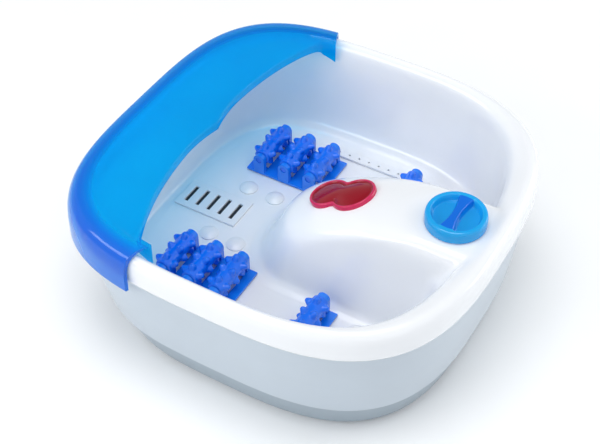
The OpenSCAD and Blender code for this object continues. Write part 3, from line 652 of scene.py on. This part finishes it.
def build_knob():
    """Round dial with a raised rim, two scooped recesses and a waisted bar between them."""
    n = int(224 * FINE)
    a = turn(n)
    rows = []
    side = rounded([(24.4, 4.4), (24.4, 0), (27, 0), (26.9, 7.6), (26.2, 10.4), (24.6, 11.2),
                    (23.4, 11.15)], 1.0)
    for r, z in side:
        rows.append(np.stack([r * np.cos(a), r * np.sin(a), np.full(n, z)], 1))
    for r in np.linspace(23.2, 0.3, int(72 * FINE)):
        x, y = r * np.cos(a), r * np.sin(a)
        in_bar = 1 - ease(np.abs(y) - grip_half(x), -2.0, 0.6)
        inside = 1 - ease(np.full(n, r), 19.4, 22.6)
        scoop = 5.0 + 0.9 * np.cos(np.clip((np.abs(y) - 12) / 11, -1, 1) * math.pi / 2)
        z = KNOB_H - (1 - in_bar) * inside * scoop + 0.15 * in_bar * inside
        rows.append(np.stack([x, y, z], 1))
    verts = np.concatenate(rows + [np.array([[0, 0, KNOB_H + 0.1], [0, 0, 4.4]])])
    verts += np.array(KNOB_AT)
    faces = grid_faces(len(rows), n)
    close_poles(faces, len(rows), n)
    obj = mesh_object("dial", verts, faces)
    x, y, z = (verts - np.array(KNOB_AT)).T
    # painted shade: the grip bar goes to the darker blue and the rest of the face a little; the
    # raised rim and the sides keep the lighter blue as a painted highlight
    grip = 1 - ease(np.abs(y) - grip_half(x), -1.5, 2.0)
    on_face = (np.hypot(x, y) < 21) & (z > 5)
    mark_painted_shade(obj, np.where(on_face, 0.12 + 0.88 * grip, 0.0))
    return obj


# ---------------------------------------------------------------- infrared window

LENS_AT, LENS_TILT = np.array([0.0, -36.0, 121.0]), math.radians(-23.5)
# [y, radius] of the two lobes on the panel, and y of the point that the outline is spun about
LOBES, LENS_MID = ((-8, 21), (18, 19)), 4


def lens_radius(angles, grow, k=3.4):
    """Radius of the two-lobed outline about its middle, let out by grow."""
    (y_a, r_a), (y_b, r_b) = LOBES
    low, high = np.zeros(len(angles)), np.full(len(angles), 48.0)
    for _ in range(24):
        mid = (low + high) / 2
        x, y = mid * np.cos(angles), LENS_MID + mid * np.sin(angles)
        a, b = np.hypot(x, y - y_a) - r_a, np.hypot(x, y - y_b) - r_b
        e = np.maximum(k - np.abs(a - b), 0) / k
        inside = np.minimum(a, b) - e * e * k / 4 < grow
        low, high = np.where(inside, mid, low), np.where(inside, high, mid)
    return low


def on_panel(points):
    """From the panel's own axes to the row frame."""
    c, s = math.cos(LENS_TILT), math.sin(LENS_TILT)
    x, y, z = points[:, 0], points[:, 1], points[:, 2]
    return np.stack([x, y * c - z * s, y * s + z * c], 1) + LENS_AT


def build_lens():
    """Red window: a rolled rim round a shallow dome, in two joined lobes."""
    n = int(224 * FINE)
    a = turn(n)
    outline = [(2.6, -5.5), (2.6, -3.7), (0, -3.6), (0, 3.9), (-0.2, 5.2), (-0.9, 5.9),
               (-1.8, 6.0), (-2.5, 5.5), (-3.0, 4.7), (-4.0, 4.6)]
    outline = rounded(outline, 0.6, steps=3)
    rows, painted_shade = [], []
    for grow, z in outline:
        r = lens_radius(a, grow)
        rows.append(np.stack([r * np.cos(a), LENS_MID + r * np.sin(a), np.full(n, z)], 1))
        # painted highlight: the outer rim keeps the lighter pink, while the rim's inner slope goes to
        # the darker red as painted shade
        painted_shade += [float(ease(-grow, 1.9, 3.2))] * n
    inner, plump = lens_radius(a, -4.0), lens_radius(a, -6.0, 18.0)
    for s in np.linspace(1, 0, int(30 * FINE) + 1)[1:-1]:
        m = float(ease(1 - s, 0.0, 0.45))
        r = ((1 - m) * inner + m * plump) * s
        z = 4.6 + 2.9 * (1 - s**2.2) ** 0.9
        rows.append(np.stack([r * np.cos(a), LENS_MID + r * np.sin(a), np.full(n, z)], 1))
        # painted shade: the dome takes the darker red in full
        painted_shade += [1.0] * n
    verts = np.concatenate(rows + [np.array([[0, LENS_MID, 7.5], [0, LENS_MID, -5.5]])])
    painted_shade += [1.0, 1.0]
    faces = grid_faces(len(rows), n)
    close_poles(faces, len(rows), n)
    obj = mesh_object("heat_window", on_panel(verts), faces)
    mark_painted_shade(obj, painted_shade)
    return obj


# ---------------------------------------------------------------- rollers and floor

ROLLER_R, CORE_R = 12.5, 8.0
KNOB_ROWS, KNOBS_ROUND, ROW_PITCH = 3, 5, 14.5
DRUM_HALF = 20.6


def build_roller(name, at):
    """Massage roller: a drum with three rows of blunt knobs, turning on two end pins."""
    n = int(120 * FINE)
    a = turn(n)
    ends = rounded([(-27, 0.2), (-27, 3), (-22, 3), (-22, 6.6), (-21, 8)], 0.6, steps=2)
    xs = [(x, r) for x, r in ends]
    xs += [(x, CORE_R) for x in np.linspace(-DRUM_HALF, DRUM_HALF, int(84 * FINE))]
    xs += [(-x, r) for x, r in ends[::-1]]
    rows = []
    for x, r in xs:
        lift = np.zeros(n)
        if abs(x) <= DRUM_HALF + 0.1:
            for row in range(KNOB_ROWS):
                for k in range(KNOBS_ROUND):
                    angle = (k + row / 2) * 2 * math.pi / KNOBS_ROUND
                    around = (a - angle + math.pi) % (2 * math.pi) - math.pi
                    d = np.hypot(around * 10.0, x - (row - 1) * ROW_PITCH)
                    lift = np.maximum(lift, (ROLLER_R - CORE_R) * (1 - ease(d, 0.6, 4.9)) ** 0.8)
        rr = r + lift
        rows.append(np.stack([np.full(n, x), rr * np.sin(a), rr * np.cos(a)], 1))
    verts = np.concatenate(rows) + np.array(at)
    faces = [f[::-1] for f in grid_faces(len(rows), n)]
    faces.append(tuple(range(n)))
    faces.append(tuple(reversed(range(len(verts) - n, len(verts)))))
    return mesh_object(name, verts, faces)


def build_ridges():
    """Four blunt ribs under each heel, moulded in the floor."""
    n, m = 24, 9
    verts, faces = [], []
    for side in (-1, 1):
        for y in (-116, -104, -92, -80):
            start = len(verts)
            for j in range(m):
                t = j / (m - 1) * math.pi / 2
                flat, up = 3.2 * math.cos(t), 2.4 * math.sin(t)
                for i in range(n):
                    b = 2 * math.pi * i / n
                    x = side * 102 + math.copysign(12, math.cos(b)) + flat * math.cos(b)
                    verts.append((x, y + flat * math.sin(b), 41.4 + up + 0.4 * (j > 0)))
            faces += grid_faces(m, n, start=start)
            faces.append(tuple(start + i for i in reversed(range(n))))
    return mesh_object("heel_ribs", verts, faces)


def build_slot_shade():
    """Dark sheet behind the slots of the floor grille, painted shade for the hollow under them."""
    low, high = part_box("floor_grille")
    x, y = (high.x - 0.004) / MM, [(low.y + 0.004) / MM, (high.y - 0.004) / MM]
    verts, faces = [], []
    for z, inset in ((42.0, 0.0), (42.35, 0.0), (42.5, 0.3)):
        verts += [(-x + inset, y[0] + inset, z), (x - inset, y[0] + inset, z),
                  (x - inset, y[1] - inset, z), (-x + inset, y[1] - inset, z)]
    faces = grid_faces(3, 4)
    faces += [(3, 2, 1, 0), (8, 9, 10, 11)]
    return mesh_object("grille_slot_shade", verts, faces, smooth=False)


# ---------------------------------------------------------------- pieces on their bodies

piece(build_tub(), "tub")
piece(build_ridges(), slot="white_shell")
piece(build_housing(), "housing_ring")
piece(build_pan(), "base_pan")
piece(build_gland_boss(), slot="pan_grey")
piece(build_guard(), "splash_guard")
# painted shade: a dark sheet under the grille's slots
piece(build_slot_shade(), slot="black_plastic")
piece(build_knob(), "knob")
piece(build_lens(), "ir_lens")
for node in [n for n in frame["nodes"] if "_roller_" in n]:
    low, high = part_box(node)
    piece(build_roller(node + "_drum", (low + high) / 2 / MM), node)
for node in ("front_tray_left", "front_tray_right", "rear_tray_left", "rear_tray_right"):
    softened(node, 0.6)
for node in ("floor_grille", "bubble_strip_left", "bubble_strip_right"):
    softened(node, 0.45)

for node, obj in frame["nodes"].items():
    if not obj.hide_render:
        obj.data.shade_smooth()
        for item in obj.material_slots:
            item.link = "OBJECT"
            item.material = FINISH[SLOT_OF[node]]


# ---------------------------------------------------------------- stage


DIM_PATCH = (0.61, 0.35, 0.71)
FLOOR_R = 6.0


def area_light(name, at, aim, size, power):
    """Soft box at one point, facing another."""
    data = bpy.data.lights.new(name, "AREA")
    data.shape = "RECTANGLE"
    data.size, data.size_y = size
    data.energy = power
    obj = linked(name, data)
    obj.location = at
    obj.rotation_mode = "QUATERNION"
    obj.rotation_quaternion = (Vector(aim) - Vector(at)).to_track_quat("-Z", "Y")


def stage():
    """Pale floor under soft light, with a dimmer patch in the backdrop for the gloss to show."""
    world = bpy.data.worlds.new("studio")
    bpy.context.scene.world = world
    world.use_nodes = True
    background = world.node_tree.nodes["Background"]
    background.inputs["Color"].default_value = (0.96, 0.98, 1.0, 1)
    nodes, links = world.node_tree.nodes, world.node_tree.links
    aim = nodes.new("ShaderNodeTexCoord")
    toward = nodes.new("ShaderNodeVectorMath")
    toward.operation = "DOT_PRODUCT"
    toward.inputs[1].default_value = DIM_PATCH
    fade = nodes.new("ShaderNodeMapRange")
    for key, value in (("From Min", 0.78), ("From Max", 0.95), ("To Min", 0.68), ("To Max", 0.25)):
        fade.inputs[key].default_value = value
    links.new(aim.outputs["Generated"], toward.inputs[0])
    links.new(toward.outputs["Value"], fade.inputs["Value"])
    links.new(fade.outputs["Result"], background.inputs["Strength"])
    area_light("top", (-0.1, 0.0, 1.9), (0, 0, 0.08), (1.3, 1.0), 14)
    area_light("streak", (-1.05, 0.75, 0.85), (-0.1, 0, 0.1), (1.3, 0.4), 7)
    area_light("side", (1.1, -1.1, 0.5), (0, 0, 0.06), (1.0, 0.6), 7)
    area_light("front", (-0.8, -1.3, 0.7), (0, 0, 0.06), (0.9, 0.6), 1)
    n = 48
    ring = [(FLOOR_R * math.cos(a), FLOOR_R * math.sin(a), 0.0) for a in turn(n)]
    mesh = bpy.data.meshes.new("floor")
    mesh.from_pydata(ring, [], [list(range(n))])
    floor = linked("floor", mesh)
    mat = shader("floor_white", (0.96, 0.97, 0.98), rough=0.6, vary=0.004, grain=0.0)
    mesh.materials.append(mat)


def camera():
    """Camera high on the left, toward the heel end, looking at the middle of the basin."""
    data = bpy.data.cameras.new("camera")
    data.sensor_fit = "HORIZONTAL"
    data.sensor_width, data.lens = 36.0, 72.66
    obj = linked("camera", data)
    azimuth, elevation, distance = math.radians(-59.9), math.radians(45.15), 1.1099
    back = Vector((math.sin(azimuth) * math.cos(elevation),
                   -math.cos(azimuth) * math.cos(elevation), math.sin(elevation)))
    obj.location = Vector((-0.0122, 0.0057, 0.080)) + back * distance
    obj.rotation_mode = "QUATERNION"
    obj.rotation_quaternion = (-back).to_track_quat("-Z", "Y")
    data.clip_start, data.clip_end = 0.05, 50
    bpy.context.scene.camera = obj


stage()
camera()
bpy.context.scene.view_settings.view_transform = "Standard"
